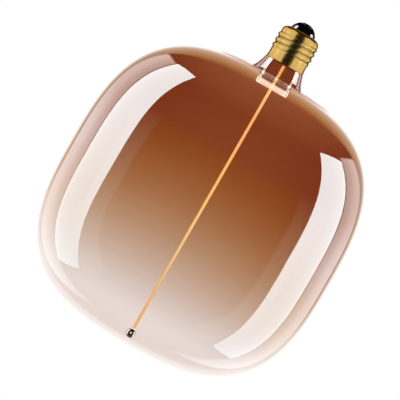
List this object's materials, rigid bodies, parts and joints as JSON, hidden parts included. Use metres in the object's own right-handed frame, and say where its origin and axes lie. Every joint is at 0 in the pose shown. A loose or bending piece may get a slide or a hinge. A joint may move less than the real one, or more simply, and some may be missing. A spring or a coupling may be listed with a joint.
{
  "type": "smart light bulb",
  "caption": "Large squarish tinted-glass filament lamp with a screw cap, one long axial LED filament ending in a bright ball, and a radio-controlled driver in the cap.",
  "frame": {"origin": "middle of the flat pad of the centre contact, where the lamp meets its lampholder", "axes": "+Z along the lamp's axis, out of the contact end of the cap, so the glass hangs towards -Z; +X to the right and +Y away, seen from the front"},
  "size_m": [0.1798, 0.1798, 0.2233],
  "materials": {
    "tinted_glass": "blown glass, copper-brown tint fading to clear",
    "clear_glass": "clear glass",
    "black_glass": "glossy black glass",
    "brass": "bright rolled brass",
    "black_nickel": "glossy black plated",
    "bright_metal": "bright plated",
    "can_aluminium": "satin aluminium can",
    "phosphor": "amber silicone with phosphor",
    "ceramic": "matt white ceramic",
    "copper": "copper wire",
    "circuit_board": "solder-masked board",
    "black_plastic": "moulded black",
    "ferrite": "matt dark grey ferrite",
    "cement": "rough cement",
    "sleeve_film": "insulating film",
    "brown_wire": "insulated wire",
    "blue_wire": "insulated wire"
  },
  "bodies": {
    "root": {"screw_shell": "brass", "cap_insulator": "black_glass", "centre_contact": "black_nickel", "basing_cement": "cement", "glass_envelope": "tinted_glass", "neck_collar": "clear_glass", "stem_flare": "clear_glass", "exhaust_tube": "clear_glass", "filament_phosphor": "phosphor", "filament_substrate": "ceramic", "led_chip_row": "ceramic", "return_conductor": "copper", "filament_top_terminal": "bright_metal", "filament_bottom_terminal": "bright_metal", "lead_wire_positive": "copper", "lead_wire_negative": "copper", "end_ferrule": "bright_metal", "end_ball": "bright_metal", "driver_board": "circuit_board", "driver_sleeve": "sleeve_film", "live_wire": "brown_wire", "neutral_wire": "blue_wire", "neutral_weld": "bright_metal", "input_capacitor": "can_aluminium", "input_capacitor_foot": "black_plastic", "output_capacitor": "can_aluminium", "output_capacitor_foot": "black_plastic", "inductor_core": "ferrite", "inductor_winding": "copper", "fusible_resistor": "ceramic", "bridge_rectifier": "black_plastic", "driver_ic": "black_plastic", "freewheel_diode": "black_plastic", "current_sense_resistor": "black_plastic", "ceramic_capacitor": "ceramic", "radio_board": "circuit_board", "radio_header": "black_plastic", "radio_chip": "black_plastic", "radio_shield": "bright_metal", "radio_crystal": "bright_metal", "antenna_wire": "copper"}
  },
  "joints": []
}
